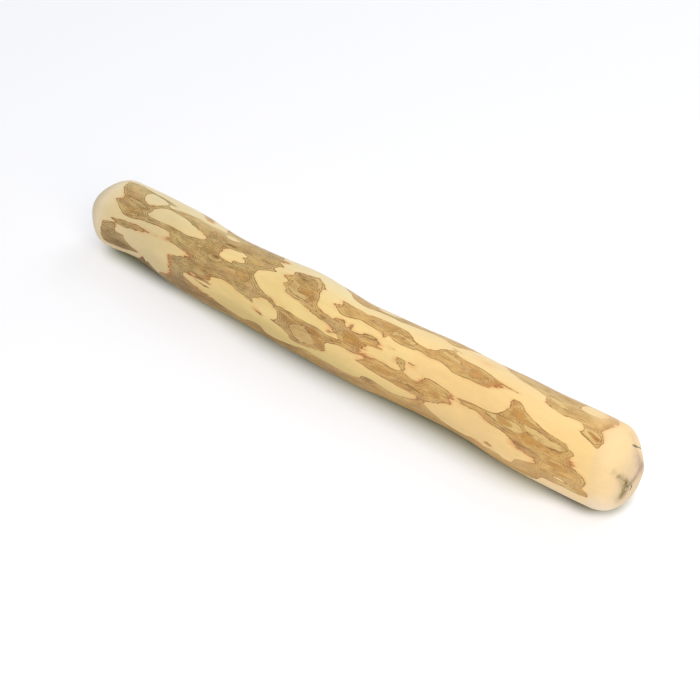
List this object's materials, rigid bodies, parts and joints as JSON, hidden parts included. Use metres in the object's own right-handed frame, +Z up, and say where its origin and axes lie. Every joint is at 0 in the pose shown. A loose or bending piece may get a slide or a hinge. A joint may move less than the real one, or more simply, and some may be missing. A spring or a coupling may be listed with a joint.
{
  "type": "coffee wood chew stick",
  "caption": "Straight, slightly wavy length of sanded branch wood with both ends rounded over, for a pet to chew.",
  "frame": {"origin": "on the surface that the stick lies on, under the middle of the stick's box", "axes": "+X along the stick towards its thicker end, +Z up, away from the surface that it lies on"},
  "size_m": [0.25, 0.0322, 0.0302],
  "materials": {
    "coffee_wood": "sanded smooth, satin, cream sapwood with islands of tan inner bark"
  },
  "bodies": {
    "root": {"coffee_wood_stick": "coffee_wood"}
  },
  "joints": []
}
